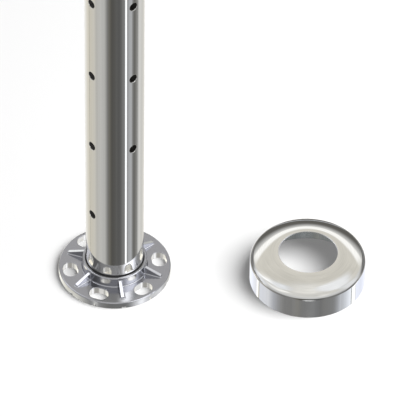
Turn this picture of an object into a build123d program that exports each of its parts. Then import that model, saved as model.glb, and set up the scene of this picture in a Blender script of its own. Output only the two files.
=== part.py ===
from build123d import *
import os

# Railing corner post: a tube drilled for rods on two sides, its cast floor flange,
# and the cover rosette, shown taken off and set down beside the foot.
# Millimetres. +Z is up, and the origin is the centre of the flange's underside.
# The two drilled sides face -X and -Y, towards the two runs of the railing.

# Post tube
post_height = 960.0            # floor to the top of the tube
tube_diameter = 42.4
tube_wall = 2.0
tube_edge_break = 0.3
rod_hole_diameter = 6.8
rod_hole_pitch = 67.5
first_hole_height = 68.5
left_hole_count = 13           # the column that faces -X
right_hole_count = 12          # the column that faces -Y, which starts one pitch higher

# Flange plate, whose diameter follows from the tube, the collar and the slots
flange_thickness = 5.5
flange_top_round = 0.9
flange_foot_round = 0.3

# Socket that takes the tube
collar_rise = 7.9              # from the plate to the rim
socket_clearance = 0.5         # radial gap round the tube
collar_wall = 2.4              # at the foot of the collar
collar_draft = 2.5             # degrees
rim_outer_round = 0.8
rim_lead_in = 0.3
seat_thickness = 2.5           # the ledge that the tube stands on
seat_width = 4.2

# Slots for the anchors, on one circle
slot_count = 6
slot_length = 14.5             # end to end, along the circle
slot_width = 11.0
slot_inner_web = 3.4           # plate left between the collar's foot and a slot
slot_rim_web = 2.75            # plate left between a slot and the rim
slot_edge_break = 0.4

# Ribs from the collar to the plate, halfway between the slots
rib_rise = 5.9                 # from the plate to the rib's back, where it leaves the collar
rib_tip_rise = 1.1
rib_rim_gap = 4.65             # plate left between a rib's tip and the rim
rib_foot_width = 3.0
rib_draft = 3.5                # degrees
rib_tip_round = 0.5
rib_edge_round = 0.25
casting_fillet = 0.8

# Drain notches under the plate, one at each slot and one at each rib
rib_drain_width = 3.0
rib_drain_height = 1.5
slot_drain_width = 1.4
slot_drain_height = 2.6

# Cover rosette
cover_diameter = 85.0
cover_height = 26.0
cover_sheet = 1.0
cover_crown_radius = 40.0      # the top falls from the hole's edge, where it is level, in one arc
cover_shoulder_radius = 5.4
cover_hole_clearance = 0.55    # radial gap round the tube when the cover is in place
cover_edge_break = 0.25
cover_x = 104.3                # where it is set down
cover_y = -96.2

# Sizes that follow from the ones above
tube_radius = tube_diameter / 2
socket_radius = tube_radius + socket_clearance
collar_radius = socket_radius + collar_wall
seat_opening_radius = socket_radius - seat_width
slot_circle_radius = collar_radius + slot_inner_web + slot_width / 2
flange_radius = slot_circle_radius + slot_width / 2 + slot_rim_web
socket_height = flange_thickness + collar_rise
rib_tip_radius = flange_radius - rib_rim_gap
cover_radius = cover_diameter / 2
cover_hole_radius = tube_radius + cover_hole_clearance
first_slot_angle = -90         # one slot lies in front of the drilled side that faces -Y
first_rib_angle = first_slot_angle + 180 / slot_count

os.makedirs("parts", exist_ok=True)


def hole_places(first_height, count):
    """Centres of one column of rod holes, from the lowest up, on a vertical plane."""
    return [(0, first_height + rod_hole_pitch * level) for level in range(count)]


# Post tube: it stands on the ledge inside the socket and is open at both ends
with BuildPart() as post_tube:
    with BuildSketch(Plane.XY.offset(seat_thickness)):
        Circle(tube_radius)
        Circle(tube_radius - tube_wall, mode=Mode.SUBTRACT)
    extrude(amount=post_height - seat_thickness)
    chamfer(post_tube.edges().filter_by(GeomType.CIRCLE), length=tube_edge_break)

    # Column that faces -X: each hole goes through the near wall alone
    with BuildSketch(Plane.YZ):
        with Locations(*hole_places(first_hole_height, left_hole_count)):
            Circle(rod_hole_diameter / 2)
    extrude(amount=-tube_diameter, mode=Mode.SUBTRACT)

    # Column that faces -Y
    with BuildSketch(Plane.XZ):
        with Locations(*hole_places(first_hole_height + rod_hole_pitch, right_hole_count)):
            Circle(rod_hole_diameter / 2)
    extrude(amount=tube_diameter, mode=Mode.SUBTRACT)

post_tube.part.label = "post_tube"
export_step(post_tube.part, "parts/post_tube.step")


# Pattern for one rib, along +X: drafted on all sides, then cut to its slope
with BuildPart() as rib:
    with BuildSketch(Plane.XY.offset(flange_thickness)) as footprint:
        with Locations((socket_radius, 0)):
            rib_length = rib_tip_radius - socket_radius
            Rectangle(rib_length, rib_foot_width, align=(Align.MIN, Align.CENTER))
        fillet(footprint.vertices().group_by(Axis.X)[-1], radius=rib_tip_round)
    extrude(amount=socket_height - flange_thickness, taper=rib_draft)

    root_point = (collar_radius, 0, flange_thickness + rib_rise)
    back_normal = (rib_rise - rib_tip_rise, 0, rib_tip_radius - collar_radius)
    back = Plane(origin=root_point, x_dir=(0, 1, 0), z_dir=back_normal)
    split(bisect_by=back, keep=Keep.BOTTOM)

    back_edges = rib.faces().sort_by(Axis.Z)[-1].edges()
    root_edge = back_edges.sort_by(Axis.X)[0]
    fillet(back_edges - [root_edge], radius=rib_edge_round)


# Base flange: plate, collar, ribs and seat are one casting
with BuildPart() as base_flange:
    with BuildSketch():
        Circle(flange_radius)
    extrude(amount=flange_thickness)
    plate_circles = base_flange.edges().filter_by(GeomType.CIRCLE).sort_by(Axis.Z)
    fillet(plate_circles[-1], radius=flange_top_round)
    fillet(plate_circles[0], radius=flange_foot_round)

    with BuildSketch(Plane.XY.offset(flange_thickness)):
        Circle(collar_radius)
    extrude(amount=socket_height - flange_thickness, taper=collar_draft)

    with PolarLocations(0, slot_count, start_angle=first_rib_angle):
        add(rib.part)

    # Every inner corner of the casting is filleted: ribs on the collar, and all on the plate
    corners_on_collar = base_flange.edges(Select.NEW)
    on_plate = base_flange.edges().filter_by_position(Axis.Z, flange_thickness, flange_thickness)
    corners_on_plate = on_plate.sort_by(SortBy.LENGTH)[:-1]
    fillet(corners_on_collar + corners_on_plate, radius=casting_fillet)

    # Socket for the tube, with a ledge left at its bottom and a hole through the middle
    with BuildSketch(Plane.XY.offset(seat_thickness)):
        Circle(socket_radius)
    extrude(amount=socket_height - seat_thickness, mode=Mode.SUBTRACT)
    rim_edges = base_flange.faces().sort_by(Axis.Z)[-1].edges().sort_by(SortBy.RADIUS)
    fillet(rim_edges[0], radius=rim_lead_in)
    rim_edges = base_flange.faces().sort_by(Axis.Z)[-1].edges().sort_by(SortBy.RADIUS)
    fillet(rim_edges[-1], radius=rim_outer_round)
    with BuildSketch():
        Circle(seat_opening_radius)
    extrude(amount=seat_thickness, mode=Mode.SUBTRACT)

    # Anchor slots
    with BuildSketch():
        with PolarLocations(slot_circle_radius, slot_count, start_angle=first_slot_angle):
            SlotOverall(slot_length, slot_width, rotation=90)
    extrude(amount=flange_thickness, mode=Mode.SUBTRACT)
    slot_walls = base_flange.faces(Select.LAST)
    slot_edges = slot_walls.edges().filter_by_position(Axis.Z, flange_thickness, flange_thickness)
    fillet(slot_edges, radius=slot_edge_break)

    # Drain notches: those under the ribs lead out from the open middle, the others from a slot
    with BuildSketch():
        with PolarLocations(0, slot_count, start_angle=first_rib_angle):
            Rectangle(2 * flange_radius, rib_drain_width, align=(Align.MIN, Align.CENTER))
    extrude(amount=rib_drain_height, mode=Mode.SUBTRACT)
    with BuildSketch():
        with PolarLocations(slot_circle_radius, slot_count, start_angle=first_slot_angle):
            Rectangle(2 * flange_radius, slot_drain_width, align=(Align.MIN, Align.CENTER))
    extrude(amount=slot_drain_height, mode=Mode.SUBTRACT)

base_flange.part.label = "base_flange"
export_step(base_flange.part, "parts/base_flange.step")


# Cover rosette: one drawn cup of sheet, mouth down, with a hole for the tube
def cup_section(radius, crown_radius, shoulder_radius):
    """Half section of a solid cup: a wall, a round shoulder, and a crown that ends level."""
    crown_centre_height = cover_height - cover_crown_radius
    crown_reach = radius - cover_hole_radius
    crown_start = (cover_hole_radius, crown_centre_height + crown_radius)
    crown_end = (radius, crown_centre_height + (crown_radius**2 - crown_reach**2) ** 0.5)
    with BuildSketch(mode=Mode.PRIVATE) as section:
        with BuildLine():
            RadiusArc(crown_start, crown_end, crown_radius)
            Polyline(crown_end, (radius, 0), (0, 0), (0, crown_start[1]), crown_start)
        make_face()
        shoulder = section.vertices().sort_by(Axis.X)[-2:].sort_by(Axis.Y)[-1]
        fillet(shoulder, radius=shoulder_radius)
    return section.sketch


cover_centre = (cover_x, cover_y, 0)
with BuildPart() as cover_rosette:
    with BuildSketch(Plane(origin=cover_centre, x_dir=(1, 0, 0), z_dir=(0, -1, 0))):
        inner_crown = cover_crown_radius - cover_sheet
        inner_shoulder = cover_shoulder_radius - cover_sheet
        add(cup_section(cover_radius, cover_crown_radius, cover_shoulder_radius))
        add(cup_section(cover_radius - cover_sheet, inner_crown, inner_shoulder), mode=Mode.SUBTRACT)
        Rectangle(cover_hole_radius, cover_height, align=Align.MIN, mode=Mode.SUBTRACT)
    revolve(axis=Axis(cover_centre, (0, 0, 1)))
    mouth_edges = cover_rosette.edges().group_by(Axis.Z)[0]
    hole_edges = cover_rosette.edges().filter_by(GeomType.CIRCLE).group_by(SortBy.RADIUS)[0]
    fillet(mouth_edges + hole_edges, radius=cover_edge_break)

cover_rosette.part.label = "cover_rosette"
export_step(cover_rosette.part, "parts/cover_rosette.step")
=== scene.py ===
# %% [markdown]
# Railing corner post. A polished stainless tube stands in a cast floor flange, and the cover rosette
# that hides the flange once the post is bolted down has been set down beside it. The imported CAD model
# is loaded as a fixed frame: one metre is one unit, and every piece below is made where the CAD has it.

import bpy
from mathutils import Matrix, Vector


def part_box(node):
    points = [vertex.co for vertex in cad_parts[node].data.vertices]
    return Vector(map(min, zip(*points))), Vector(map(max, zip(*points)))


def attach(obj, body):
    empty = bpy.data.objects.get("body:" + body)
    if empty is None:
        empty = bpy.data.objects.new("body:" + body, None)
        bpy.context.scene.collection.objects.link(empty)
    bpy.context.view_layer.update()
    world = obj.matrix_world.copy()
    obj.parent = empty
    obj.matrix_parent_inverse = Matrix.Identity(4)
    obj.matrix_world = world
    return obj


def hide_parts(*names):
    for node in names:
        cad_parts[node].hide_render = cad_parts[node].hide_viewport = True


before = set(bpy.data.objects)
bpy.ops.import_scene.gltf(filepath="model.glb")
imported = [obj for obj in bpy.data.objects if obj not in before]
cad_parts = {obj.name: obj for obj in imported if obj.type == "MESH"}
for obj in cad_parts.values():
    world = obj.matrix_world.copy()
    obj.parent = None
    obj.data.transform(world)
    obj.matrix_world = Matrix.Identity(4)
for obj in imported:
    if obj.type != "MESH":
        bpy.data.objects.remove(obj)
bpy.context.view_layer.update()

# %% [markdown]
# The sizes that the pieces share are measured on the loaded model and not typed again, so that the
# picture's pieces stay exactly where the CAD has them.

# %% Tools and measured sizes
from math import asin, atan2, cos, pi, radians, sin, sqrt, tan, tau

import bpy
from mathutils import Matrix, Vector

MM = 0.001
scene = bpy.context.scene
tube_low, tube_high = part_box("post_tube")
flange_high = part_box("base_flange")[1]
cover_low, cover_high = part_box("cover_rosette")
cover_centre = (cover_low + cover_high) / 2
tube_radius = tube_high.x
cover_radius = (cover_high.x - cover_low.x) / 2
for name, radius in (("tube", tube_radius), ("flange", flange_high.x), ("cover", cover_radius)):
    print(name, round(2 * radius / MM, 1), "mm across")

# %% [markdown]
# The camera, the cards and the lights are all placed by direction. Typed as plain coordinates they would
# be hard to follow, so one helper turns two angles into a direction: the azimuth, measured from the
# camera's side and positive to the right, and the elevation above the floor.

# %% Directions and placing
CAMERA_ROUND = radians(-40.7)


def studio_direction(azimuth, elevation):
    """Direction by azimuth from the camera's side, positive to the right, and elevation, in degrees."""
    turned = CAMERA_ROUND - pi / 2 + radians(azimuth)
    level = cos(radians(elevation))
    return Vector((level * cos(turned), level * sin(turned), sin(radians(elevation))))


def put_in_scene(name, data):
    """A new object that holds this mesh, light or camera."""
    thing = bpy.data.objects.new(name, data)
    scene.collection.objects.link(thing)
    return thing


def looking_back(place, outward):
    """Placement for a camera or light that stands at place and looks back along outward."""
    return Matrix.Translation(place) @ outward.to_track_quat("Z", "Y").to_matrix().to_4x4()


print("the camera's side is towards", [round(value, 2) for value in studio_direction(0, 0)])

# %% [markdown]
# The photograph was taken from about four metres with a long lens, which is why the tube's sides stay
# almost parallel. It looks down 43 degrees at the corner between the two drilled sides, so the camera
# stands 41 degrees round from -Y towards -X. It is placed by the point of the floor that is in the middle
# of the picture, and leans by under a degree, as the photograph does.

# %% Camera
CAMERA_DOWN = 43.29
CAMERA_LEAN = 0.92
CAMERA_DISTANCE = 3.891
PICTURE_MIDDLE = Vector((95.76, 7.06, 0.0)) * MM

camera = put_in_scene("camera", bpy.data.cameras.new("camera"))
camera.data.sensor_width = 36.0
camera.data.lens = 451.2
towards_camera = studio_direction(0, CAMERA_DOWN)
upright = looking_back(PICTURE_MIDDLE + CAMERA_DISTANCE * towards_camera, towards_camera)
camera.matrix_world = upright @ Matrix.Rotation(radians(CAMERA_LEAN), 4, "Z")
scene.camera = camera
print("camera at", [round(value, 3) for value in camera.matrix_world.translation])

# %% [markdown]
# The photograph has pure whites and crisp contrasts. Blender's filmic view would grey them, so the plain
# standard view is chosen, in which a value of one is white.

# %% Colours as shot
scene.view_settings.view_transform = "Standard"
WHITE = (1.0, 1.0, 1.0, 1.0)
print("view:", scene.view_settings.view_transform)

# %% [markdown]
# Shader trees could be clicked together, but a script has to name each node and link. A few small helpers
# keep that short: one adds a node and fills its sockets with values or with other nodes' outputs, and the
# others are for the three nodes used most.

# %% Node helpers
def fill(tree, node, inputs):
    """Sets a node's sockets, given by name or number, or joins them to other nodes' outputs."""
    for socket, value in inputs.items():
        if isinstance(value, bpy.types.NodeSocket):
            tree.links.new(value, node.inputs[socket])
        else:
            node.inputs[socket].default_value = value


def add_node(tree, kind, inputs=None, **settings):
    """A new shader node with these properties and inputs."""
    node = tree.nodes.new("ShaderNode" + kind)
    for name, value in settings.items():
        setattr(node, name, value)
    fill(tree, node, inputs or {})
    return node


def calculate(tree, operation, *values, clamp=False):
    """The result of one Math node."""
    return add_node(tree, "Math", dict(enumerate(values)), operation=operation, use_clamp=clamp).outputs[0]


def rescale(tree, value, start=(0.0, 1.0), end=(0.0, 1.0), smooth=False):
    """A value carried from one range to another, and held at its ends."""
    ranges = {"Value": value, "From Min": start[0], "From Max": start[1], "To Min": end[0], "To Max": end[1]}
    kind = "SMOOTHSTEP" if smooth else "LINEAR"
    return add_node(tree, "MapRange", ranges, interpolation_type=kind).outputs["Result"]


def mix_colours(tree, share, first, second):
    """The first colour where the share is 0, and the second where it is 1."""
    return add_node(tree, "Mix", {0: share, 6: first, 7: second}, data_type="RGBA").outputs[2]


print("node helpers:", [helper.__name__ for helper in (fill, add_node, calculate, rescale, mix_colours)])

# %% [markdown]
# An effect that is used more than once is a node group: built once, with named sockets, and then placed
# with its own values wherever it is wanted.

# %% Group helpers
def new_group(name, inputs, outputs):
    """An empty shader node group with these sockets, given as name: kind or name: (kind, value)."""
    group = bpy.data.node_groups.new(name, "ShaderNodeTree")
    for direction, sockets in (("INPUT", inputs), ("OUTPUT", outputs)):
        for socket_name, kind in sockets.items():
            kind, value = kind if isinstance(kind, tuple) else (kind, None)
            socket = group.interface.new_socket(
                name=socket_name, in_out=direction, socket_type="NodeSocket" + kind)
            if value is not None:
                socket.default_value = value
    return group, group.nodes.new("NodeGroupInput").outputs, group.nodes.new("NodeGroupOutput")


def place_group(tree, group, inputs=None, **settings):
    """A group placed in a tree with its own values. Gives its outputs."""
    return add_node(tree, "Group", inputs, node_tree=group, **settings).outputs


print("group helpers:", [helper.__name__ for helper in (new_group, place_group)])

# %% [markdown]
# What a mirror shows. A polished tube has hardly any colour of its own: its stripes are the room. A picture
# of a real room would do, but not these stripes, so the room is made as a studio of cards that only
# reflections see. Each card is a soft-edged patch of direction, laid over what is behind it. The mask is 1
# within the card's reach, and falls to 0 over its soft edge.

# %% Studio card group
card_sockets = {"Behind": "Color", "Card": "Color", "Azimuth": "Float", "Elevation": "Float"}
card_sockets |= {f"{angle} {part}": "Float"
                 for angle in ("Azimuth", "Elevation") for part in ("Centre", "Reach", "Soft")}
card_group, card_in, card_out = new_group("studio card", card_sockets, {"Color": "Color"})
mask = 1.0
for angle in ("Azimuth", "Elevation"):
    offset = calculate(card_group, "SUBTRACT", card_in[angle], card_in[angle + " Centre"])
    if angle == "Azimuth":      # the short way round, across the seam at 180 degrees
        offset = calculate(card_group, "WRAP", offset, 180.0, -180.0)
    past = calculate(card_group, "SUBTRACT", card_in[angle + " Reach"], calculate(card_group, "ABSOLUTE", offset))
    share = calculate(card_group, "DIVIDE", past, card_in[angle + " Soft"])
    edge = rescale(card_group, calculate(card_group, "ADD", share, 0.5, clamp=True), smooth=True)
    mask = calculate(card_group, "MULTIPLY", mask, edge)
fill(card_group, card_out, {"Color": mix_colours(card_group, mask, card_in["Behind"], card_in["Card"])})
print("studio card group:", len(card_group.nodes), "nodes")

# %% [markdown]
# Every card's brightness is given as the grey that the steel is to show. These greys were set by measuring
# how light the mirrored stripes are at places in the photograph, and by comparing renders with it. The
# helper undoes the screen's curve, and allows for the part of the light that the metal swallows.

# %% Tones
METAL_REFLECTS = 0.72
RED_OF_WARM, BLUE_OF_WARM = 0.06, -0.14     # what one step of warmth adds to red and blue


def tone(grey, warmth=0.0):
    """Light that polished steel shows as this 0 to 255 grey, a little warmer or cooler."""
    level = grey / 255
    light = (level / 12.92 if level < 0.04 else ((level + 0.055) / 1.055) ** 2.4) / METAL_REFLECTS
    return (light * (1 + RED_OF_WARM * warmth), light, light * (1 + BLUE_OF_WARM * warmth), 1.0)


print("light for mid grey:", round(tone(128)[1], 3))

# %% [markdown]
# The world's shader is asked for the light from one direction at a time. That direction is turned to the
# camera's side and split into azimuth and elevation, which is how the cards are given.

# %% Azimuth and elevation of a ray
world = bpy.data.worlds.new("studio")
scene.world = world
world.use_nodes = True
studio = world.node_tree
studio.nodes.clear()
direction = add_node(studio, "TexCoord").outputs["Generated"]
to_camera_side = {"Vector": direction, "Angle": pi / 2 - CAMERA_ROUND}
turned = add_node(studio, "VectorRotate", to_camera_side, rotation_type="Z_AXIS").outputs[0]
east, north, upward = add_node(studio, "SeparateXYZ", {0: turned}).outputs
azimuth = calculate(studio, "DEGREES", calculate(studio, "ARCTAN2", north, east))
elevation = calculate(studio, "DEGREES", calculate(studio, "ARCSINE", upward))
print("world:", world.name)

# %% [markdown]
# The camera looks down, so the upright walls of the tube and the cover mirror what lies below the horizon.
# In a real studio that is the floor, but here the floor is hidden from reflections: it is white in the
# photograph, while the tube shows dark and light stripes. The stripes are one colour ramp, once round.

# %% Cards below the horizon
# Azimuth, grey and warmth
LOW_CARDS = [
    (-180, 208, 0.5), (-158, 219, 0.3), (-142, 215, 0.4), (-130, 205, 0.7), (-118, 200, 0.9), (-108, 191, 0.9),
    (-98, 192, 0.8), (-84, 194, 0.6), (-72, 160, 0.3), (-60, 140, 0.2), (-46, 121, 0.0), (-27, 118, 0.1),
    (-21, 108, 0.6), (-16, 96, 0.8), (-12, 83, 0.7), (-8, 79, 0.4), (0, 83, 0.3), (9, 90, 0.1), (19, 85, 0.0),
    (27, 96, 0.0), (34, 117, 0.0), (46, 121, -0.1), (57, 126, -0.2), (66, 131, -0.3), (70, 143, -0.3),
    (75, 112, 0.1), (85, 100, 0.3), (95, 124, 0.2), (103, 162, 0.1), (113, 206, 0.1), (135, 192, 0.3),
    (180, 208, 0.5)]


def angle_ramp(name, angle, stops):
    """A colour ramp over an angle. The stops are (angle, grey, warmth), from the lowest to the highest."""
    low, high = stops[0][0], stops[-1][0]
    share = calculate(studio, "MULTIPLY_ADD", angle, 1 / (high - low), -low / (high - low))
    ramp = add_node(studio, "ValToRGB", {0: share}, label=name)
    elements = ramp.color_ramp.elements
    elements.remove(elements[1])
    for index, (at, grey, warmth) in enumerate(stops):
        stop = elements[0] if index == 0 else elements.new((at - low) / (high - low))
        stop.color = tone(grey, warmth)
    return ramp.outputs["Color"]


low_cards = angle_ramp("low cards", azimuth, LOW_CARDS)
print("stripes below the horizon:", len(LOW_CARDS))

# %% [markdown]
# The walls and the ceiling are plain cloth that gets lighter towards straight up. A second ramp, by
# elevation, gives that, and it takes over from the stripes within a few degrees below the horizon.

# %% Walls and ceiling
# Elevation, grey and warmth
ROOM = [(-20, 127, 0), (-14, 147, 0), (-8, 170, 0), (0, 191, 0), (11, 197, 0), (21, 201, 0), (40, 203, 0.3),
        (66, 204, 0.3), (75, 208, 0.3), (83, 223, 0.3), (90, 226, 0.3)]
STRIPES_TAKE_OVER = (-4.0, -12.0)
below = rescale(studio, elevation, STRIPES_TAKE_OVER)
colour = mix_colours(studio, below, angle_ramp("room", elevation, ROOM), low_cards)
print("steps from floor to ceiling:", len(ROOM))

# %% [markdown]
# Single cards stand in that room. The ones on the far side show in the flange's plate and on the cover's
# crown, the dark lines and seams on the cover's wall, and those on the camera's side on the far rim of the
# cover, which leans back towards the camera.

# %% Single cards
# Name, (azimuth centre, reach, soft edge), (elevation centre, reach, soft edge), grey, warmth
CARDS = [
    ("far wall", (180, 62, 30), (52, 22, 14), 200, 0.6),
    ("left box", (-97, 18, 16), (32, 44, 12), 222, -0.3),
    ("right box", (108, 26, 20), (66, 16, 12), 229, -0.2),
    ("right band", (85, 14, 14), (24, 32, 14), 217, -0.2),
    ("far dark card", (180, 60, 24), (3, 17.5, 17), 90, 0.5),
    ("far dark card, left", (-133, 17, 18), (-9, 17, 22), 106, 0.1),
    ("far dark card, right", (132, 22, 18), (-9, 17, 22), 98, 0.1),
    ("far light line", (180, 55, 20), (-1.5, 1.6, 2.5), 180, -0.4),
    ("far strip", (180, 42, 20), (31, 4.4, 4), 247, 0.1),
    ("dark line, left", (-72, 36, 16), (-27, 4.5, 5), 104, 0.3),
    ("dark line, right", (72, 36, 16), (-27, 4.5, 5), 104, 0.3),
    ("seam, left", (-113.2, 0.7, 0.8), (-50, 40, 4), 112, 0.2),
    ("seam, right", (100.7, 0.8, 0.8), (-50, 40, 4), 92, 0.2),
    ("camera side", (-20, 45, 20), (41, 18, 12), 183, 0.2),
    ("camera side, left", (-80, 24, 20), (41, 18, 12), 134, 0.2),
]
for name, across, up, grey, warmth in CARDS:
    values = {"Behind": colour, "Azimuth": azimuth, "Elevation": elevation, "Card": tone(grey, warmth)}
    for part, azimuth_value, elevation_value in zip(("Centre", "Reach", "Soft"), across, up):
        values |= {"Azimuth " + part: azimuth_value, "Elevation " + part: elevation_value}
    colour = place_group(studio, card_group, values, label=name)["Color"]
print("studio with", len(CARDS), "cards")

# %% [markdown]
# The cloth overhead isn't perfectly even, and the cover's crown shows that as soft clouds. A slow noise
# multiplies the colour, and fades out towards the walls.

# %% Cloth overhead
NOISE_SPAN = (0.3, 0.7)          # nearly all of a noise lies in this range
CLOTH_SPAN = (0.89, 1.07)
CLOTH_STARTS = (32.0, 47.0)      # degrees of elevation
cloth_noise = add_node(studio, "TexNoise", {"Vector": direction, "Scale": 2.6, "Detail": 2.0, "Distortion": 0.4})
cloth_tone = rescale(studio, cloth_noise.outputs["Fac"], NOISE_SPAN, CLOTH_SPAN)
overhead = rescale(studio, elevation, CLOTH_STARTS)
cloth = calculate(studio, "MULTIPLY_ADD", overhead, calculate(studio, "SUBTRACT", cloth_tone, 1.0), 1.0)
colour = add_node(studio, "VectorMath", {0: colour, 1: cloth}, operation="MULTIPLY").outputs[0]
print("cloth varies from", CLOTH_SPAN[0], "to", CLOTH_SPAN[1])

# %% [markdown]
# One world can't serve everything: the photograph's ground is white, and the studio's cards would tint the
# floor. The Light Path node tells the rays apart. Reflections see the studio, the camera sees plain white,
# and what lights the floor is one even soft grey.

# %% What each ray sees
EVEN_LIGHT = 0.245
path = add_node(studio, "LightPath").outputs
lit = mix_colours(studio, path["Is Glossy Ray"], (EVEN_LIGHT, EVEN_LIGHT, EVEN_LIGHT, 1.0), colour)
seen = mix_colours(studio, path["Is Camera Ray"], lit, WHITE)
background = add_node(studio, "Background", {"Color": seen, "Strength": 1.0})
add_node(studio, "OutputWorld", {"Surface": background.outputs[0]})
print("world:", len(studio.nodes), "nodes")

# %% [markdown]
# The floor is a large white sheet, a little over-exposed, as in the photograph, so that only the shadows
# close to the pieces show. Further off, where the soft box no longer reaches, a real sheet would go grey.
# This one gives off a little light there and stays pale.

# %% Floor
FLOOR_HALF = 12.0
GLOW_STARTS = (0.6, 3.0)         # metres from the post
GLOW = 0.72
corners = [(-FLOOR_HALF, -FLOOR_HALF, 0), (FLOOR_HALF, -FLOOR_HALF, 0), (FLOOR_HALF, FLOOR_HALF, 0),
           (-FLOOR_HALF, FLOOR_HALF, 0)]
floor_mesh = bpy.data.meshes.new("floor")
floor_mesh.from_pydata(corners, [], [(0, 1, 2, 3)])
floor = put_in_scene("floor", floor_mesh)
floor.visible_glossy = False
floor.visible_shadow = False
floor_paint = bpy.data.materials.new("floor white")
floor_paint.use_nodes = True
tree = floor_paint.node_tree
place = add_node(tree, "TexCoord").outputs["Object"]
far_off = add_node(tree, "VectorMath", {0: place}, operation="LENGTH").outputs["Value"]
fill(tree, tree.nodes["Principled BSDF"], {
    "Base Color": (0.86, 0.86, 0.86, 1.0), "Roughness": 1.0, "Specular IOR Level": 0.0, "Emission Color": WHITE,
    "Emission Strength": rescale(tree, far_off, GLOW_STARTS, (0.0, GLOW), smooth=True)})
floor_mesh.materials.append(floor_paint)
print("floor", 2 * FLOOR_HALF, "m across")

# %% [markdown]
# One large soft box gives the shadows their direction and their soft edge: the larger the box, the wider
# the edge. It is hidden from reflections, because what the metal mirrors is set by the studio cards.

# %% Soft box
BOX_FROM = 2.8 * studio_direction(75, 51)
box_light = put_in_scene("soft box", bpy.data.lights.new("soft box", "AREA"))
box_light.data.shape = "RECTANGLE"
box_light.data.size = box_light.data.size_y = 2.5
box_light.data.energy = 122.0
box_light.visible_glossy = False
box_light.matrix_world = looking_back(BOX_FROM, BOX_FROM)
print("soft box at", [round(value, 2) for value in BOX_FROM])

# %% [markdown]
# Meshes that a mirror finish can stand on. A mirror shows every error in the normals, so the tube and
# the cover are made again here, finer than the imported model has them, from rings of points. Each ring
# carries its own normals, worked out from the real shape and not averaged from the faces.

# %% Ring meshes
def circle(out, up, count, centre=(0.0, 0.0)):
    """A level ring of points, at this radius and height. Round the origin it gives a ring of normals too."""
    angles = [tau * k / count for k in range(count)]
    return [(centre[0] + out * cos(a), centre[1] + out * sin(a), up) for a in angles]


class RingMesh:
    """A mesh made of rings of points, with a normal for each point."""

    def __init__(self):
        self.points, self.normals, self.faces, self.kinds = [], [], [], []

    def add(self, points, normals):
        """Adds a ring, and gives the numbers of its points."""
        first = len(self.points)
        self.points += points
        self.normals += normals
        return list(range(first, len(self.points)))

    def face(self, corners, kind=0):
        """Adds a face, which takes the material of that number."""
        self.faces.append(corners)
        self.kinds.append(kind)

    def join(self, ring, other, kind=0):
        """Quads between two closed rings with the same number of points."""
        for k in range(len(ring)):
            after = (k + 1) % len(ring)
            self.face((ring[k], ring[after], other[after], other[k]), kind)

    def make(self, name, materials):
        """The finished object. Points that no face uses are left out."""
        used = sorted({number for face in self.faces for number in face})
        renumber = {old: new for new, old in enumerate(used)}
        mesh = bpy.data.meshes.new(name)
        mesh.from_pydata([self.points[k] for k in used], [], [[renumber[k] for k in face] for face in self.faces])
        mesh.polygons.foreach_set("material_index", self.kinds)
        mesh.shade_smooth()
        mesh.normals_split_custom_set_from_vertices([self.normals[k] for k in used])
        for material in materials:
            mesh.materials.append(material)
        print(f"{name}: {len(mesh.vertices)} points, {len(mesh.loop_triangles)} triangles")
        return put_in_scene(name, mesh)


# %% [markdown]
# Patterns that the finishes share. Polishing a tube leaves fine lines along it, and polishing a drawn
# cover on a spinning pad leaves lines round it, so both need to know where a point lies round its axis.
# This group gives that: the angle round the axis, and the distance from it and the height in millimetres.

# %% Position round an axis
turned_group, turned_in, turned_out = new_group(
    "position round axis", {"Axis": "Vector"}, {"Around": "Float", "Out": "Float", "Up": "Float"})
place = add_node(turned_group, "TexCoord").outputs["Object"]
for operation, value in (("SUBTRACT", turned_in["Axis"]), ("MULTIPLY", (1000, 1000, 1000))):
    place = add_node(turned_group, "VectorMath", {0: place, 1: value}, operation=operation).outputs[0]
side_x, side_y, up_mm = add_node(turned_group, "SeparateXYZ", {0: place}).outputs
squared = calculate(turned_group, "ADD", calculate(turned_group, "MULTIPLY", side_x, side_x),
                    calculate(turned_group, "MULTIPLY", side_y, side_y))
fill(turned_group, turned_out, {"Around": calculate(turned_group, "ARCTAN2", side_y, side_x),
                                "Out": calculate(turned_group, "SQRT", squared), "Up": up_mm})
print("position round axis:", len(turned_group.nodes), "nodes")

# %% [markdown]
# Polish lines are a noise that is stretched along the way the pad moved: many cells across, and few along.
# One output has the fine lines, and the other broad ones for slow changes of the gloss.

# %% Polish lines
lines_group, lines_in, lines_out = new_group(
    "polish lines",
    {"Across": "Float", "Along": "Float", "Lines per Unit": "Float", "Length Scale": ("Float", 0.02)},
    {"Lines": "Float", "Broad Lines": "Float"})
along = calculate(lines_group, "MULTIPLY", lines_in["Along"], lines_in["Length Scale"])
for name, share, detail in (("Lines", 1.0, 3.0), ("Broad Lines", 0.22, 1.0)):
    lines_per_unit = calculate(lines_group, "MULTIPLY", lines_in["Lines per Unit"], share)
    across = calculate(lines_group, "MULTIPLY", lines_in["Across"], lines_per_unit)
    place = add_node(lines_group, "CombineXYZ", {0: across, 1: along}).outputs[0]
    noise = add_node(lines_group, "TexNoise", {"Vector": place, "Scale": 1.0, "Detail": detail}).outputs["Fac"]
    fill(lines_group, lines_out, {name: rescale(lines_group, noise, NOISE_SPAN)})
print("polish lines:", len(lines_group.nodes), "nodes")

# %% [markdown]
# Hands leave soft, dull marks on polished steel. They are patches of a noise: only its higher part counts,
# so that there is clean metal between them. The casting's grain and the slow waves of its skin are noises
# too, with their sizes given in millimetres.

# %% Handling marks and grain
def object_noise(tree, size_mm, **values):
    """A noise on the object's own coordinates, whose cells are this many millimetres across."""
    place = add_node(tree, "TexCoord").outputs["Object"]
    scale = calculate(tree, "DIVIDE", 1000.0, size_mm)
    return add_node(tree, "TexNoise", {"Vector": place, "Scale": scale, **values}).outputs["Fac"]


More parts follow.
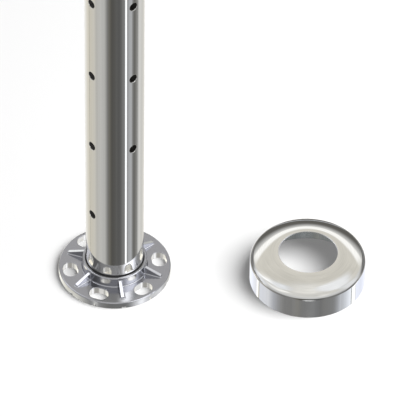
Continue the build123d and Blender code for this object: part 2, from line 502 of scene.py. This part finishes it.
marks_group, marks_in, marks_out = new_group(
    "handling marks", {"Mark Size": ("Float", 12.0), "Amount": ("Float", 0.5)}, {"Marks": "Float"})
noise = object_noise(marks_group, marks_in["Mark Size"], Detail=4.0, Roughness=0.6, Distortion=0.6)
patches = rescale(marks_group, noise, (0.46, 0.7), smooth=True)
fill(marks_group, marks_out, {"Marks": calculate(marks_group, "MULTIPLY", patches, marks_in["Amount"])})

grain_group, grain_in, grain_out = new_group(
    "surface grain", {"Grain Size": ("Float", 0.4), "Wave Size": ("Float", 4.0)},
    {"Grain": "Float", "Waves": "Float"})
for name, size, detail in (("Grain", "Grain Size", 2.0), ("Waves", "Wave Size", 1.0)):
    noise = object_noise(grain_group, grain_in[size], Detail=detail)
    fill(grain_group, grain_out, {name: rescale(grain_group, noise, NOISE_SPAN)})
print("groups:", [group.name for group in bpy.data.node_groups])

# %% [markdown]
# Each finish below is a material whose colour, roughness and relief come from those patterns. Three small
# helpers keep them short: one starts a material, one turns a pattern into a colour between two tones of
# the same metal, and one turns patterns into bumps, each laid over the one before.

# %% Finish helpers
def new_finish(name, metallic=1.0):
    """A material, the tree that its patterns go into, and its Principled shader."""
    material = bpy.data.materials.new(name)
    material.use_nodes = True
    shader = material.node_tree.nodes["Principled BSDF"]
    shader.inputs["Metallic"].default_value = metallic
    return material, material.node_tree, shader


def two_tones(tree, share, dark, light):
    """A colour between two tones of the same surface."""
    return mix_colours(tree, share, (*dark, 1.0), (*light, 1.0))


def relief(tree, *patterns):
    """A bumpy normal from patterns given as (pattern, height in mm)."""
    below = {}
    for pattern, height in patterns:
        bump = add_node(tree, "Bump", {"Strength": 1.0, "Distance": height * MM, "Height": pattern, **below})
        below = {"Normal": bump.outputs["Normal"]}
    return bump.outputs["Normal"]


print("finish helpers:", [helper.__name__ for helper in (new_finish, two_tones, relief)])

# %% [markdown]
# The tube's polish. Steel tube for railings is ground along its length and then polished to a mirror, so
# what is left are faint streaks that run down the tube. They are put into its colour and roughness, with
# a few soft marks where it was handled.

# %% Polished tube
tube_finish, tree, shader = new_finish("polished tube")
turned = place_group(tree, turned_group)
lines = place_group(tree, lines_group, {
    "Across": turned["Around"], "Along": turned["Up"], "Lines per Unit": 60.0, "Length Scale": 0.004})
marks = place_group(tree, marks_group, {"Mark Size": 26.0, "Amount": 0.5})["Marks"]
streaked = rescale(tree, lines["Broad Lines"], end=(0.035, 0.065))
fill(tree, shader, {"Base Color": two_tones(tree, lines["Lines"], (0.695, 0.693, 0.676), (0.748, 0.75, 0.732)),
                    "Roughness": calculate(tree, "MULTIPLY_ADD", marks, 0.03, streaked)})
print(tube_finish.name, "with", len(tree.nodes), "nodes")

# %% [markdown]
# Inside, the tube is painted near-black as painted shade: the dark bore seen through the rod holes, a dull wall
# that swallows the light that enters there. A metal would mirror the bright room there, so it is made a matt
# grain that isn't metallic.

# %% Tube bore
bore_shade_finish, tree, shader = new_finish("tube bore, painted shade", 0.0)
grain = place_group(tree, grain_group, {"Grain Size": 0.8})
fill(tree, shader, {"Base Color": two_tones(tree, grain["Grain"], (0.012, 0.012, 0.012), (0.03, 0.028, 0.026)),
                    "Roughness": rescale(tree, grain["Waves"], end=(0.6, 0.8)), "Specular IOR Level": 0.1})
print(bore_shade_finish.name, "with", len(tree.nodes), "nodes")

# %% [markdown]
# The cover's polish. It was drawn from sheet and polished while it turned, so its lines run round the
# crown, while the draw itself leaves faint upright streaks on the wall. One mask, made from the height,
# blends from one kind of line to the other over the shoulder.

# %% Polished cover
SHOULDER_BLEND = (15.0, 20.0)        # heights in millimetres
cover_axis = {"Axis": (cover_centre.x, cover_centre.y, 0)}
cover_finish, tree, shader = new_finish("polished cover")
turned = place_group(tree, turned_group, cover_axis)
crown_lines = place_group(tree, lines_group, {
    "Across": turned["Out"], "Along": turned["Around"], "Lines per Unit": 2.4, "Length Scale": 1.2})["Lines"]
wall_lines = place_group(tree, lines_group, {
    "Across": turned["Around"], "Along": turned["Up"], "Lines per Unit": 90.0, "Length Scale": 0.01})["Lines"]
on_crown = rescale(tree, turned["Up"], SHOULDER_BLEND)
lines = add_node(tree, "Mix", {0: on_crown, 2: wall_lines, 3: crown_lines}).outputs[0]
marks = place_group(tree, marks_group, {"Mark Size": 22.0, "Amount": 0.8})["Marks"]
fill(tree, shader, {"Base Color": two_tones(tree, lines, (0.705, 0.705, 0.69), (0.765, 0.765, 0.75)),
                    "Roughness": rescale(tree, marks, end=(0.04, 0.075))})
print(cover_finish.name, "with", len(tree.nodes), "nodes")

# %% [markdown]
# The inside of the cover is as bright as the sheet came, with upright streaks from the drawing ring. They
# are wider and stronger than polish lines, so the same group is placed with fewer lines. The rounded edge
# at the mouth is painted darker, as painted shade: a mask made from the height puts that in.

# %% Cover inside
# Painted shade: the mouth's rounded edge is painted darker from this height down.
MOUTH_SHADE_BLEND = (0.45, 0.25)             # heights in millimetres, from the wall down to the cut
MOUTH_SHADE_GREY = (0.3, 0.3, 0.3, 1.0)
inside_finish, tree, shader = new_finish("cover inside")
turned = place_group(tree, turned_group, cover_axis)
lines = place_group(tree, lines_group, {
    "Across": turned["Around"], "Along": turned["Up"], "Lines per Unit": 34.0, "Length Scale": 0.01})
streaks = two_tones(tree, lines["Lines"], (0.6, 0.635, 0.625), (0.74, 0.78, 0.77))
fill(tree, shader, {"Base Color": mix_colours(tree, rescale(tree, turned["Up"], MOUTH_SHADE_BLEND), streaks, MOUTH_SHADE_GREY),
                    "Roughness": rescale(tree, lines["Broad Lines"], end=(0.05, 0.08))})
print(inside_finish.name, "with", len(tree.nodes), "nodes")

# %% [markdown]
# The flange is an investment casting with a satin skin: the grain of the mould, smoothed by tumbling, so
# it is even and only a little rough. Its bumps are finer than half a millimetre and a few thousandths
# high. Slow waves of the wax pattern make its highlights wander a little.

# %% Cast flange
flange_finish, tree, shader = new_finish("cast flange")
grain = place_group(tree, grain_group, {"Grain Size": 0.45, "Wave Size": 5.0})
marks = place_group(tree, marks_group, {"Mark Size": 14.0, "Amount": 1.0})["Marks"]
satin = rescale(tree, grain["Grain"], end=(0.145, 0.18))
fill(tree, shader, {"Base Color": two_tones(tree, grain["Grain"], (0.342, 0.347, 0.37), (0.39, 0.395, 0.419)),
                    "Roughness": calculate(tree, "MULTIPLY_ADD", marks, 0.03, satin),
                    "Normal": relief(tree, (grain["Waves"], 0.015), (grain["Grain"], 0.003))})
print(flange_finish.name, "with", len(tree.nodes), "nodes")

# %% [markdown]
# A thin black bead closes the joint between tube and flange: painted shade, a solid dark ring where the gap
# between them lies in shade. It is the only piece here that isn't metal: dull, with small wrinkles.

# %% Joint bead, painted shade
joint_shade_finish, tree, shader = new_finish("joint bead, painted shade", 0.0)
grain = place_group(tree, grain_group, {"Grain Size": 0.6, "Wave Size": 3.0})
fill(tree, shader, {"Base Color": two_tones(tree, grain["Waves"], (0.006, 0.006, 0.007), (0.016, 0.016, 0.017)),
                    "Roughness": rescale(tree, grain["Grain"], end=(0.5, 0.65)),
                    "Normal": relief(tree, (grain["Grain"], 0.01))})
print(joint_shade_finish.name, "with", len(tree.nodes), "nodes")

# %% [markdown]
# The tube's mesh. The real tube is drilled through one wall for each rod, and each hole's edge is broken.
# A boolean would leave long thin faces round the holes, and a mirror finish shows them. So the wall is
# built as a grid that is left open in a square patch round each hole, and the patch is closed with rings
# that go from the square to the circle while all their points stay on the cylinder.

# %% Tube sizes
TUBE_WALL = 2.0 * MM
EDGE_BREAK = 0.3 * MM
HOLE_RADIUS = 3.4 * MM
HOLE_BREAK = 0.25 * MM
HOLE_PITCH = 67.5 * MM
FIRST_HOLE = 68.5 * MM
HOLES_UP = 13
COLUMNS = 144
PATCH = 6                       # a hole's square patch reaches this many columns to each side
FACING_LEFT, FACING_RIGHT = COLUMNS // 2, COLUMNS * 3 // 4      # the columns that face -X and -Y
DRILLED = {FACING_LEFT: range(0, HOLES_UP), FACING_RIGHT: range(1, HOLES_UP)}

column_step = tau / COLUMNS
row_step = tube_radius * column_step
levels = [FIRST_HOLE + HOLE_PITCH * k for k in range(HOLES_UP)]
print("grid cells of", round(row_step / MM, 2), "mm")

# %% [markdown]
# Within a patch the rows lie a column's width apart, so that its cells are square. Between two patches
# three rows are enough, because the wall is straight there.

# %% Rows of the grid
heights = [tube_low.z + EDGE_BREAK, tube_low.z + 20 * MM, tube_low.z + 40 * MM]
patch_start = []
for level in levels:
    patch_start.append(len(heights))
    heights += [level + row_step * k for k in range(-PATCH, PATCH + 1)]
    top = level + row_step * PATCH
    if level == levels[-1]:
        heights += [top + (tube_high.z - EDGE_BREAK - top) * share / 4 for share in (1, 2, 3, 4)]
    else:
        heights += [top + (HOLE_PITCH - 2 * PATCH * row_step) * share / 4 for share in (1, 2, 3)]
print("grid of", COLUMNS, "columns and", len(heights), "rows")

# %% [markdown]
# A ring round a hole has one point for each point of the square's border, so that rings and border can be
# joined by plain quads. Its points are found from the hole's own circle and then pushed out to the wall.

# %% Ring round a hole
# The patch's border, once round, as steps of column and row from the hole's middle
border = [(PATCH, k) for k in range(-PATCH, PATCH)] + [(-k, PATCH) for k in range(-PATCH, PATCH)]
border += [(-PATCH, -k) for k in range(-PATCH, PATCH)] + [(k, -PATCH) for k in range(-PATCH, PATCH)]
turns = [atan2(row, column) for column, row in border]
tube = RingMesh()


def hole_ring(side, level, reach, wall, depth, lean):
    """Ring of points round a hole, at reach from its axis and depth under the wall of that radius.
    Lean 0 gives the wall's own normals and 1 those of the hole's side."""
    points, normals = [], []
    for turn in turns:
        across, up = reach * cos(turn), reach * sin(turn)
        out = sqrt(wall**2 - across**2) - depth
        points.append((out * cos(side) - across * sin(side), out * sin(side) + across * cos(side), level + up))
        surface = Vector((points[-1][0], points[-1][1], 0)).normalized() * (1 if wall == tube_radius else -1)
        inward = Vector((cos(turn) * sin(side), -cos(turn) * cos(side), -sin(turn)))
        normals.append(surface.lerp(inward, lean).normalized())
    return tube.add(points, normals)


print("points in a ring round a hole:", len(turns))

# %% [markdown]
# Three rings fill a patch, each one less square than the one before. The last lies just outside the hole,
# so that the faces at its edge are narrow and even.

# %% Filling a patch
SQUARENESS = (0.66, 0.33, 0.0)
RING_MARGIN = 0.35 * MM


def patch_rings(outer, side, level, reach, wall, outward):
    """Rings that lead from the square border of a patch to the hole's edge, all on the wall."""
    squares = [Vector(tube.points[number]) for number in outer]
    rings = [outer]
    for share in SQUARENESS:
        ring = hole_ring(side, level, reach + RING_MARGIN, wall, 0, 0)
        for number, square in zip(ring, squares):
            point = Vector(tube.points[number]).lerp(square, share)
            flat = Vector((point.x, point.y, 0)).normalized()
            tube.points[number] = (flat.x * wall, flat.y * wall, point.z)
            tube.normals[number] = (flat.x * outward, flat.y * outward, 0)
        rings.append(ring)
    return rings + [hole_ring(side, level, reach, wall, 0, 0)]


def join_rings(rings, outward, kind=0):
    """Joins each of the tube's rings to the next, with the faces turned over where outward is -1."""
    for ring, inner in zip(rings, rings[1:]):
        tube.join(*((ring, inner) if outward > 0 else (inner, ring)), kind)


print("rings in a patch:", len(SQUARENESS))

# %% [markdown]
# The outer and the inner wall are the same grid at two radii. On the inner one every face is turned over,
# so that its front looks into the bore.

# %% Drilled walls
def drilled_wall(wall, outward, kind):
    """The tube's wall at this radius, with its holes. Gives the grid's rows and each hole's edge ring."""
    rows = [tube.add(circle(wall, height, COLUMNS), circle(outward, 0, COLUMNS)) for height in heights]
    open_cells = {(patch_start[k] + row, side + column) for side, holes in DRILLED.items() for k in holes
                  for row in range(2 * PATCH) for column in range(-PATCH, PATCH)}
    for row in range(len(heights) - 1):
        for column in range(COLUMNS):
            if (row, column) not in open_cells:
                after = (column + 1) % COLUMNS
                corners = [rows[row][column], rows[row][after], rows[row + 1][after], rows[row + 1][column]]
                tube.face(corners if outward > 0 else corners[::-1], kind)
    edges = {}
    reach = HOLE_RADIUS + (HOLE_BREAK if outward > 0 else 0)
    for side, holes in DRILLED.items():
        for k in holes:
            outer = [rows[patch_start[k] + PATCH + row][side + column] for column, row in border]
            rings = patch_rings(outer, column_step * side, levels[k], reach, wall, outward)
            join_rings(rings, outward, kind)
            edges[side, k] = rings[-1]
    return rows, edges


outer_rows, outer_edges = drilled_wall(tube_radius, 1, 0)
inner_rows, inner_edges = drilled_wall(tube_radius - TUBE_WALL, -1, 1)
print("holes in the wall:", len(outer_edges))

# %% [markdown]
# The two walls are joined through each hole, with a narrow ring for the broken edge, whose normals turn
# from the wall's to the hole's. The tube's two ends get the same broken edge.

# %% Hole sides and tube ends
half_turn = HOLE_BREAK * (1 - sqrt(0.5))       # how far the broken edge has gone in, half way round
for (side, k), edge in outer_edges.items():
    angle, level = column_step * side, levels[k]
    middle = hole_ring(angle, level, HOLE_RADIUS + half_turn, tube_radius, half_turn, 0.5)
    side_ring = hole_ring(angle, level, HOLE_RADIUS, tube_radius, HOLE_BREAK, 1)
    join_rings([edge, middle, side_ring], 1)
    tube.join(side_ring, inner_edges[side, k], 1)

for end, height, upward in ((0, tube_low.z, -1), (-1, tube_high.z, 1)):
    outer_end, inner_end = (tube.add(circle(radius, height, COLUMNS), circle(0, upward, COLUMNS))
                            for radius in (tube_radius - EDGE_BREAK, tube_radius - TUBE_WALL + EDGE_BREAK))
    join_rings([outer_rows[end], outer_end, inner_end, inner_rows[end]], upward)

tube_piece = tube.make("tube", [tube_finish, bore_shade_finish])

# %% [markdown]
# The cover's mesh. The real cover is one drawn sheet, so it is turned here from one half section of arcs
# and straights: up the wall, round the shoulder, over the crown to the hole, and back along the inside.
# Arcs bring their exact normals with them, which keeps the mirrored lines on the crown smooth.

# %% Cover sizes
COVER_SHEET = 1.0 * MM
CROWN_RADIUS = 40.0 * MM
SHOULDER_RADIUS = 5.4 * MM
COVER_HOLE = 21.75 * MM
COVER_BREAK = 0.25 * MM
COVER_SEGMENTS = 256

cover_height = cover_high.z
crown_middle = (COVER_HOLE, cover_height - CROWN_RADIUS)
shoulder_across = cover_radius - SHOULDER_RADIUS
shoulder_rise = sqrt((CROWN_RADIUS - SHOULDER_RADIUS) ** 2 - (shoulder_across - COVER_HOLE) ** 2)
shoulder_middle = (shoulder_across, crown_middle[1] + shoulder_rise)
blend_angle = atan2(shoulder_rise, shoulder_across - COVER_HOLE)
print(f"the wall is straight up to {shoulder_middle[1] / MM:.1f} mm")

# %% [markdown]
# Each point of the half section brings its normal: how far out it lies and how high, and how much its
# normal points out and up. The inside has the same arcs, a sheet's thickness smaller, with the normals
# turned over.

# %% Cover section
def arc(middle, radius, start, end, steps, face=1):
    """Points of an arc with their normals, which face -1 turns over."""
    angles = [start + (end - start) * k / steps for k in range(steps + 1)]
    return [(middle[0] + radius * cos(a), middle[1] + radius * sin(a), face * cos(a), face * sin(a))
            for a in angles]


def straight(out, start, end, face):
    """Points along the upright wall between two heights, without its ends."""
    return [(out, start + (end - start) * k / 8, face, 0) for k in range(1, 8)]


inside = cover_radius - COVER_SHEET
hole_lip = COVER_HOLE + COVER_BREAK
hole_angle = pi / 2 - asin(COVER_BREAK / CROWN_RADIUS)
section = arc((cover_radius - COVER_BREAK, COVER_BREAK), COVER_BREAK, -pi / 2, 0, steps=4)
section += straight(cover_radius, COVER_BREAK, shoulder_middle[1], 1)
section += arc(shoulder_middle, SHOULDER_RADIUS, 0, blend_angle, steps=16)
section += arc(crown_middle, CROWN_RADIUS, blend_angle, hole_angle, steps=20)[1:]
section += arc((hole_lip, cover_height - COVER_BREAK), COVER_BREAK, pi / 2, pi, steps=4)[1:]
first_inside = len(section)
section += arc((hole_lip, cover_height - COVER_SHEET + COVER_BREAK), COVER_BREAK, pi, 3 * pi / 2, steps=4)
section += arc(crown_middle, CROWN_RADIUS - COVER_SHEET, hole_angle, blend_angle, steps=20, face=-1)[1:]
section += arc(shoulder_middle, SHOULDER_RADIUS - COVER_SHEET, blend_angle, 0, steps=12, face=-1)[1:]
section += straight(inside, shoulder_middle[1], COVER_BREAK, -1)
section += arc((inside + COVER_BREAK, COVER_BREAK), COVER_BREAK, -pi, -pi / 2, steps=4)
print("points in the cover's section:", len(section))

# %% [markdown]
# The section is turned round the cover's own axis, and its last ring is joined to the first, so that the
# sheet is closed all round. What lies past the hole's edge gets the finish of the inside.

# %% Cover
cover = RingMesh()
rings = [cover.add(circle(out, up, COVER_SEGMENTS, cover_centre), circle(normal_out, normal_up, COVER_SEGMENTS))
         for out, up, normal_out, normal_up in section]
for index, (ring, other) in enumerate(zip(rings, rings[1:] + rings[:1])):
    cover.join(ring, other, 1 if index >= first_inside else 0)
cover_piece = cover.make("cover", [cover_finish, inside_finish])

# %% [markdown]
# The black bead of painted shade fills the gap between the tube and the collar's lip and rises a little
# up the tube, in a hollow fillet.

# %% Joint bead
SOCKET_RADIUS = 21.7 * MM
BEAD_OUTSIDE = SOCKET_RADIUS - 0.01 * MM        # just off the socket's wall
BEAD_FOOT = flange_high.z - 0.5 * MM
BEAD_EDGE = flange_high.z - 0.1 * MM
BEAD_TOP = 14.6 * MM
BEAD_HOLLOW = 0.8               # 1 would be a straight slope
BEAD_STEPS = 8
BEAD_SEGMENTS = 180

slope = Vector((1, 0.32)).normalized()
bead_section = [(BEAD_OUTSIDE, BEAD_FOOT, Vector((1, 0)))]
for share in [k / BEAD_STEPS for k in range(BEAD_STEPS + 1)]:
    out = BEAD_OUTSIDE - (SOCKET_RADIUS - tube_radius) * share**BEAD_HOLLOW
    bead_section.append((out, BEAD_EDGE + (BEAD_TOP - BEAD_EDGE) * share, slope))
bead = RingMesh()
rings = [bead.add(circle(out, up, BEAD_SEGMENTS), circle(normal.x, normal.y, BEAD_SEGMENTS))
         for out, up, normal in bead_section]
for lower, upper in zip(rings, rings[1:]):
    bead.join(lower, upper)
bead_piece = bead.make("joint_bead", [joint_shade_finish])
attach(bead_piece, "root")

# %% [markdown]
# The tube and the cover take the places of their CAD pieces, and the flange keeps its own, which has all
# its fillets. The cover and the flange light nothing by their own reflections: in the photograph the
# shadows beside them are plain, without bright patches thrown by the metal.

# %% Place and dress the pieces
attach(tube_piece, "root")
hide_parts("post_tube")
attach(cover_piece, "root")
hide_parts("cover_rosette")
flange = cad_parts["base_flange"]
for slot in flange.material_slots:
    slot.material = flange_finish
cover_piece.visible_glossy = False
cover_piece.visible_diffuse = False
flange.visible_diffuse = False
print("dressed:", tube_piece.name, cover_piece.name, flange.name, bead_piece.name)

# %% [markdown]
# In the photograph the cover and the flange cast soft shadows, but the tall tube casts none across the
# floor. A light's blocker collection says which pieces stop its light, so the tube is simply left out.

# %% Soft box shadows
casters = bpy.data.collections.new("soft box shadows")
casters.objects.link(cover_piece)
casters.objects.link(flange)
box_light.light_linking.blocker_collection = casters

# %% [markdown]
# The front of the flange mirrors the foot of the tube, but the cover's crown mirrors no tube in the
# photograph. So the tube itself is hidden from reflections, and a short sleeve at its foot, which only
# reflections see, stands in for it in front of the flange.

# %% Tube foot in the mirror
SLEEVE_HEIGHTS = (13.0 * MM, 26.0 * MM)
SLEEVE_RADIUS = tube_radius * 0.999             # keeps it off the tube's own wall


def only_in_reflections(piece):
    """Hides a piece from every ray but those that a shiny surface sends out."""
    for ray in ("camera", "diffuse", "shadow", "transmission", "volume_scatter"):
        setattr(piece, "visible_" + ray, False)


tube_piece.visible_glossy = False
foot = RingMesh()
foot.join(*(foot.add(circle(SLEEVE_RADIUS, height, COLUMNS), circle(1, 0, COLUMNS)) for height in SLEEVE_HEIGHTS))
mirror_foot = foot.make("tube foot in the mirror", [tube_finish])
only_in_reflections(mirror_foot)

# %% [markdown]
# The floor is hidden from reflections too, but through the slots it is seen in the tube as a row of light
# windows. A thin glowing disc under the flange, seen only by reflections and only through the slots,
# brings those windows back. It is half clear, so that the slot walls still mirror the studio.

# %% Floor in the mirror
DISC_RADIUS = 40.5 * MM
DISC_HEIGHT = 0.02 * MM
DISC_POINTS = 96
disc_mesh = bpy.data.meshes.new("floor in the mirror")
disc_mesh.from_pydata(circle(DISC_RADIUS, DISC_HEIGHT, DISC_POINTS), [], [list(range(DISC_POINTS))])
mirror_floor = put_in_scene("floor in the mirror", disc_mesh)
only_in_reflections(mirror_floor)
disc_glow = bpy.data.materials.new("floor in the mirror")
disc_glow.use_nodes = True
tree = disc_glow.node_tree
tree.nodes.clear()
glow = add_node(tree, "Emission", {"Color": tone(156, 1.2)})
clear = add_node(tree, "BsdfTransparent")
both = add_node(tree, "AddShader", {0: glow.outputs[0], 1: clear.outputs[0]})
add_node(tree, "OutputMaterial", {"Surface": both.outputs[0]})
disc_mesh.materials.append(disc_glow)
print("seen only in reflections:", mirror_foot.name, "and", mirror_floor.name)

# %% [markdown]
# Lights for single pieces. The tube and the cover mirror different things in the same direction, as they
# do in the photograph: a white strip runs down the tube, and soft light fades round the cover's wall. The
# world can't tell the pieces apart, but a light can be linked to the one piece that is to mirror it. This
# group makes such a light fade towards each edge, over a share of its size.

# %% Fading light group
EDGES = ("Left", "Right", "Low", "High")
fade_group, fade_in, fade_out = new_group(
    "fading light", {edge: ("Float", 0.01) for edge in EDGES}, {"Strength": "Float"})
on_light = add_node(fade_group, "NewGeometry").outputs["Parametric"]
from_left, from_low, _ = add_node(fade_group, "SeparateXYZ", {0: on_light}).outputs
from_right = calculate(fade_group, "SUBTRACT", 1.0, from_left)
from_high = calculate(fade_group, "SUBTRACT", 1.0, from_low)
strength = 1.0
for edge, distance in zip(EDGES, (from_left, from_right, from_low, from_high)):
    share = calculate(fade_group, "DIVIDE", distance, fade_in[edge], clamp=True)
    strength = calculate(fade_group, "MULTIPLY", strength, rescale(fade_group, share, smooth=True))
fill(fade_group, fade_out, {"Strength": strength})
print("fading light group:", len(fade_group.nodes), "nodes")

# %% [markdown]
# An area light is given its power, but what a mirror shows is its radiance: the power for each square
# metre, divided by pi. So the power is worked out from the wanted light and the size. The light's receiver
# collection holds the pieces that it shines on.

# %% Light for single pieces
post_foot = Vector((0, 0, 0))
cover_foot = Vector((cover_centre.x, cover_centre.y, 0))
# The pieces that mirror a light, and the foot that it is placed round
TUBE = ((tube_piece, mirror_foot), post_foot)
COVER = ((cover_piece,), cover_foot)
FLANGE = ((flange,), post_foot)


def light_for(pieces, name, place, outward, size, light, fades):
    """A rectangular light that only these pieces mirror. It looks back along outward, and fades over
    these shares of its size from its left, right, lower and upper edge."""
    lamp = put_in_scene(name, bpy.data.lights.new(name, "AREA"))
    lamp.data.shape = "RECTANGLE"
    lamp.data.size, lamp.data.size_y = size
    strongest = max(light)
    lamp.data.color = [part / strongest for part in light]
    lamp.data.energy = pi * size[0] * size[1] * strongest
    lamp.matrix_world = looking_back(place, outward)
    lamp.data.use_nodes = True
    tree = lamp.data.node_tree
    fading = place_group(tree, fade_group, dict(zip(EDGES, fades)))
    fill(tree, tree.nodes["Emission"], {"Strength": fading["Strength"]})
    receivers = bpy.data.collections.new(name)
    for piece in pieces:
        receivers.objects.link(piece)
    lamp.light_linking.receiver_collection = receivers


def added(grey, behind, warmth=0.0):
    """The light that lifts a mirrored grey from what is behind it."""
    return [full - dark for full, dark in zip(tone(grey, warmth), tone(behind, warmth))][:3]


print("light that lifts grey 121 to 285:", [round(part, 2) for part in added(285, 121)])

# %% [markdown]
# Two shapes are enough. A tall light stands upright between two azimuths, for what stands upright itself,
# and a card light is square to its direction, for what leans or lies.

# %% Tall lights and card lights
BELOW_HORIZON = (-75, -2)
SOFT = (0.2, 0.2, 0.2, 0.2)
CRISP_EDGE = 0.002


def tall_light(target, name, azimuths, light, fades, elevations=BELOW_HORIZON, distance=6.0):
    """An upright light between two azimuths and two elevations, as seen from the target's foot."""
    pieces, foot = target
    outward = studio_direction(sum(azimuths) / 2, 0)
    low, high = (distance * tan(radians(angle)) for angle in elevations)
    width = 2 * distance * tan(radians(azimuths[1] - azimuths[0]) / 2)
    place = foot + distance * outward + Vector((0, 0, (low + high) / 2))
    light_for(pieces, name, place, outward, (width, high - low), light, (*fades, CRISP_EDGE, CRISP_EDGE))


def card_light(target, name, towards, reach, light, fades=SOFT, distance=3.0):
    """A light card towards an azimuth and elevation. It reaches this many degrees to each side, and up
    and down."""
    pieces, foot = target
    outward = studio_direction(*towards)
    size = [2 * distance * tan(radians(angle)) for angle in reach]
    light_for(pieces, name, foot + distance * outward, outward, size, light, fades)


print("tall lights are seen between", *BELOW_HORIZON, "degrees, where nothing else is said")

# %% [markdown]
# The tube gets its white strip, a soft light on each side, and a high one that its foot shows in the
# flange.

# %% Lights for the tube
tall_light(TUBE, "tube strip", (40.5, 53.5), added(285, 121, -0.3), (0.45, 0.55))
tall_light(TUBE, "tube left", (-84, -24), added(182, 128, 0.2), (0.55, 0.3))
tall_light(TUBE, "tube right", (53, 84), added(166, 128, -0.4), (0.15, 0.6))
card_light(TUBE, "tube right, high", (50, 43), (26, 17), (2.9, 2.9, 3.0), (0.5, 0.5, 0.2, 0.2))

# %% [markdown]
# The cover's wall gets light that grows towards both sides, a bright stripe on each, and a glint on the
# front of its shoulder. Two cards on the camera's side light the far rim, which leans back towards it.

# %% Lights for the cover
WALL = (-75, -36)
WALL_AND_SHOULDER = (-75, -30)
SHOULDER = (-42, -35)
BLUISH = (0.13, 0.19, 0.36)
# Name, azimuths, light, fades on the left and right, elevations
COVER_LIGHTS = [
    ("cover front", (-34, 36), added(119, 84, -0.5), (0.4, 0.35), WALL),
    ("cover left", (-112, -46), BLUISH, (0.02, 0.95), WALL),
    ("cover far left", (-178, -120), BLUISH, (0.3, 0.05), WALL),
    ("cover right", (52, 99), added(226, 110, -0.9), (0.95, 0.02), WALL),
    ("cover far right", (112, 176), (0.25, 0.3, 0.48), (0.05, 0.3), WALL),
    ("cover right stripe", (99.4, 113), added(262, 165, -0.4), (0.15, 0.3), WALL_AND_SHOULDER),
    ("cover left stripe", (-122, -114.5), added(275, 197, -0.4), (0.3, 0.1), WALL_AND_SHOULDER),
    ("cover glint", (-12, 18), added(300, 84, -0.2), (0.4, 0.4), SHOULDER),
]
for name, azimuths, light, fades, elevations in COVER_LIGHTS:
    tall_light(COVER, name, azimuths, light, fades, elevations)
card_light(COVER, "cover camera side", (-20, 43), (55, 24), added(203, 183, 0.3), (0.18, 0.18, 0.25, 0.3))
card_light(COVER, "cover camera side, left", (-80, 43), (34, 24), added(212, 134), (0.3, 0.3, 0.25, 0.3))
print("tall lights for the cover:", len(COVER_LIGHTS))

# %% [markdown]
# The flange's satin metal blurs what it mirrors, so its lights are plain cards. Each rib's back looks at
# another part of the room, and gets a small card just there; the collar and the plate's rim get tall
# ones from below, because upright faces mirror what lies under the horizon.

# %% Lights for the flange
# Name, (azimuth, elevation), reach across and up, light, fades
FLANGE_CARDS = [
    ("flange overhead", (129, 81), (6, 6), (3.1, 3.1, 3.15), SOFT),
    ("flange bounce", (0, -90), (76, 76), (0.26, 0.26, 0.24), (0.01, 0.01, 0.01, 0.01)),
    ("flange left", (-128, 56), (15, 15), (2.3, 2.3, 2.45), SOFT),
    ("flange far left", (-156, 20), (9, 9), (1.9, 1.9, 1.8), SOFT),
    ("flange far right", (165, 11), (8, 7), (1.2, 1.2, 1.1), SOFT),
    ("flange back right", (137, 42), (7, 7), (1.1, 1.1, 1.1), SOFT),
    ("flange cool wall", (180, 46), (40, 22), (0.004, 0.016, 0.065), SOFT),
    ("flange camera side", (-4, 30), (40, 9), (0.75, 0.75, 0.78), (0.3, 0.3, 0.2, 0.1)),
    ("flange camera side, high", (-24, 56), (30, 8), (0.6, 0.6, 0.62), (0.3, 0.3, 0.1, 0.2)),
    ("flange right", (62, 43), (27, 20), (3.8, 3.8, 3.9), (0.4, 0.4, 0.2, 0.2)),
]
for name, towards, reach, light, fades in FLANGE_CARDS:
    card_light(FLANGE, name, towards, reach, light, fades)
tall_light(FLANGE, "flange low left", (-170, -50), (0.52, 0.51, 0.41), (0.1, 0.4), distance=2.0)
tall_light(FLANGE, "flange low right", (28, 122), (1.0, 1.0, 0.97), (0.3, 0.3), distance=2.0)
tall_light(FLANGE, "flange strip, left", (-46, -32), (1.03, 1.01, 0.93), (0.4, 0.4))
tall_light(FLANGE, "flange strip, right", (46, 70), (0.9, 0.9, 0.9), (0.4, 0.4))
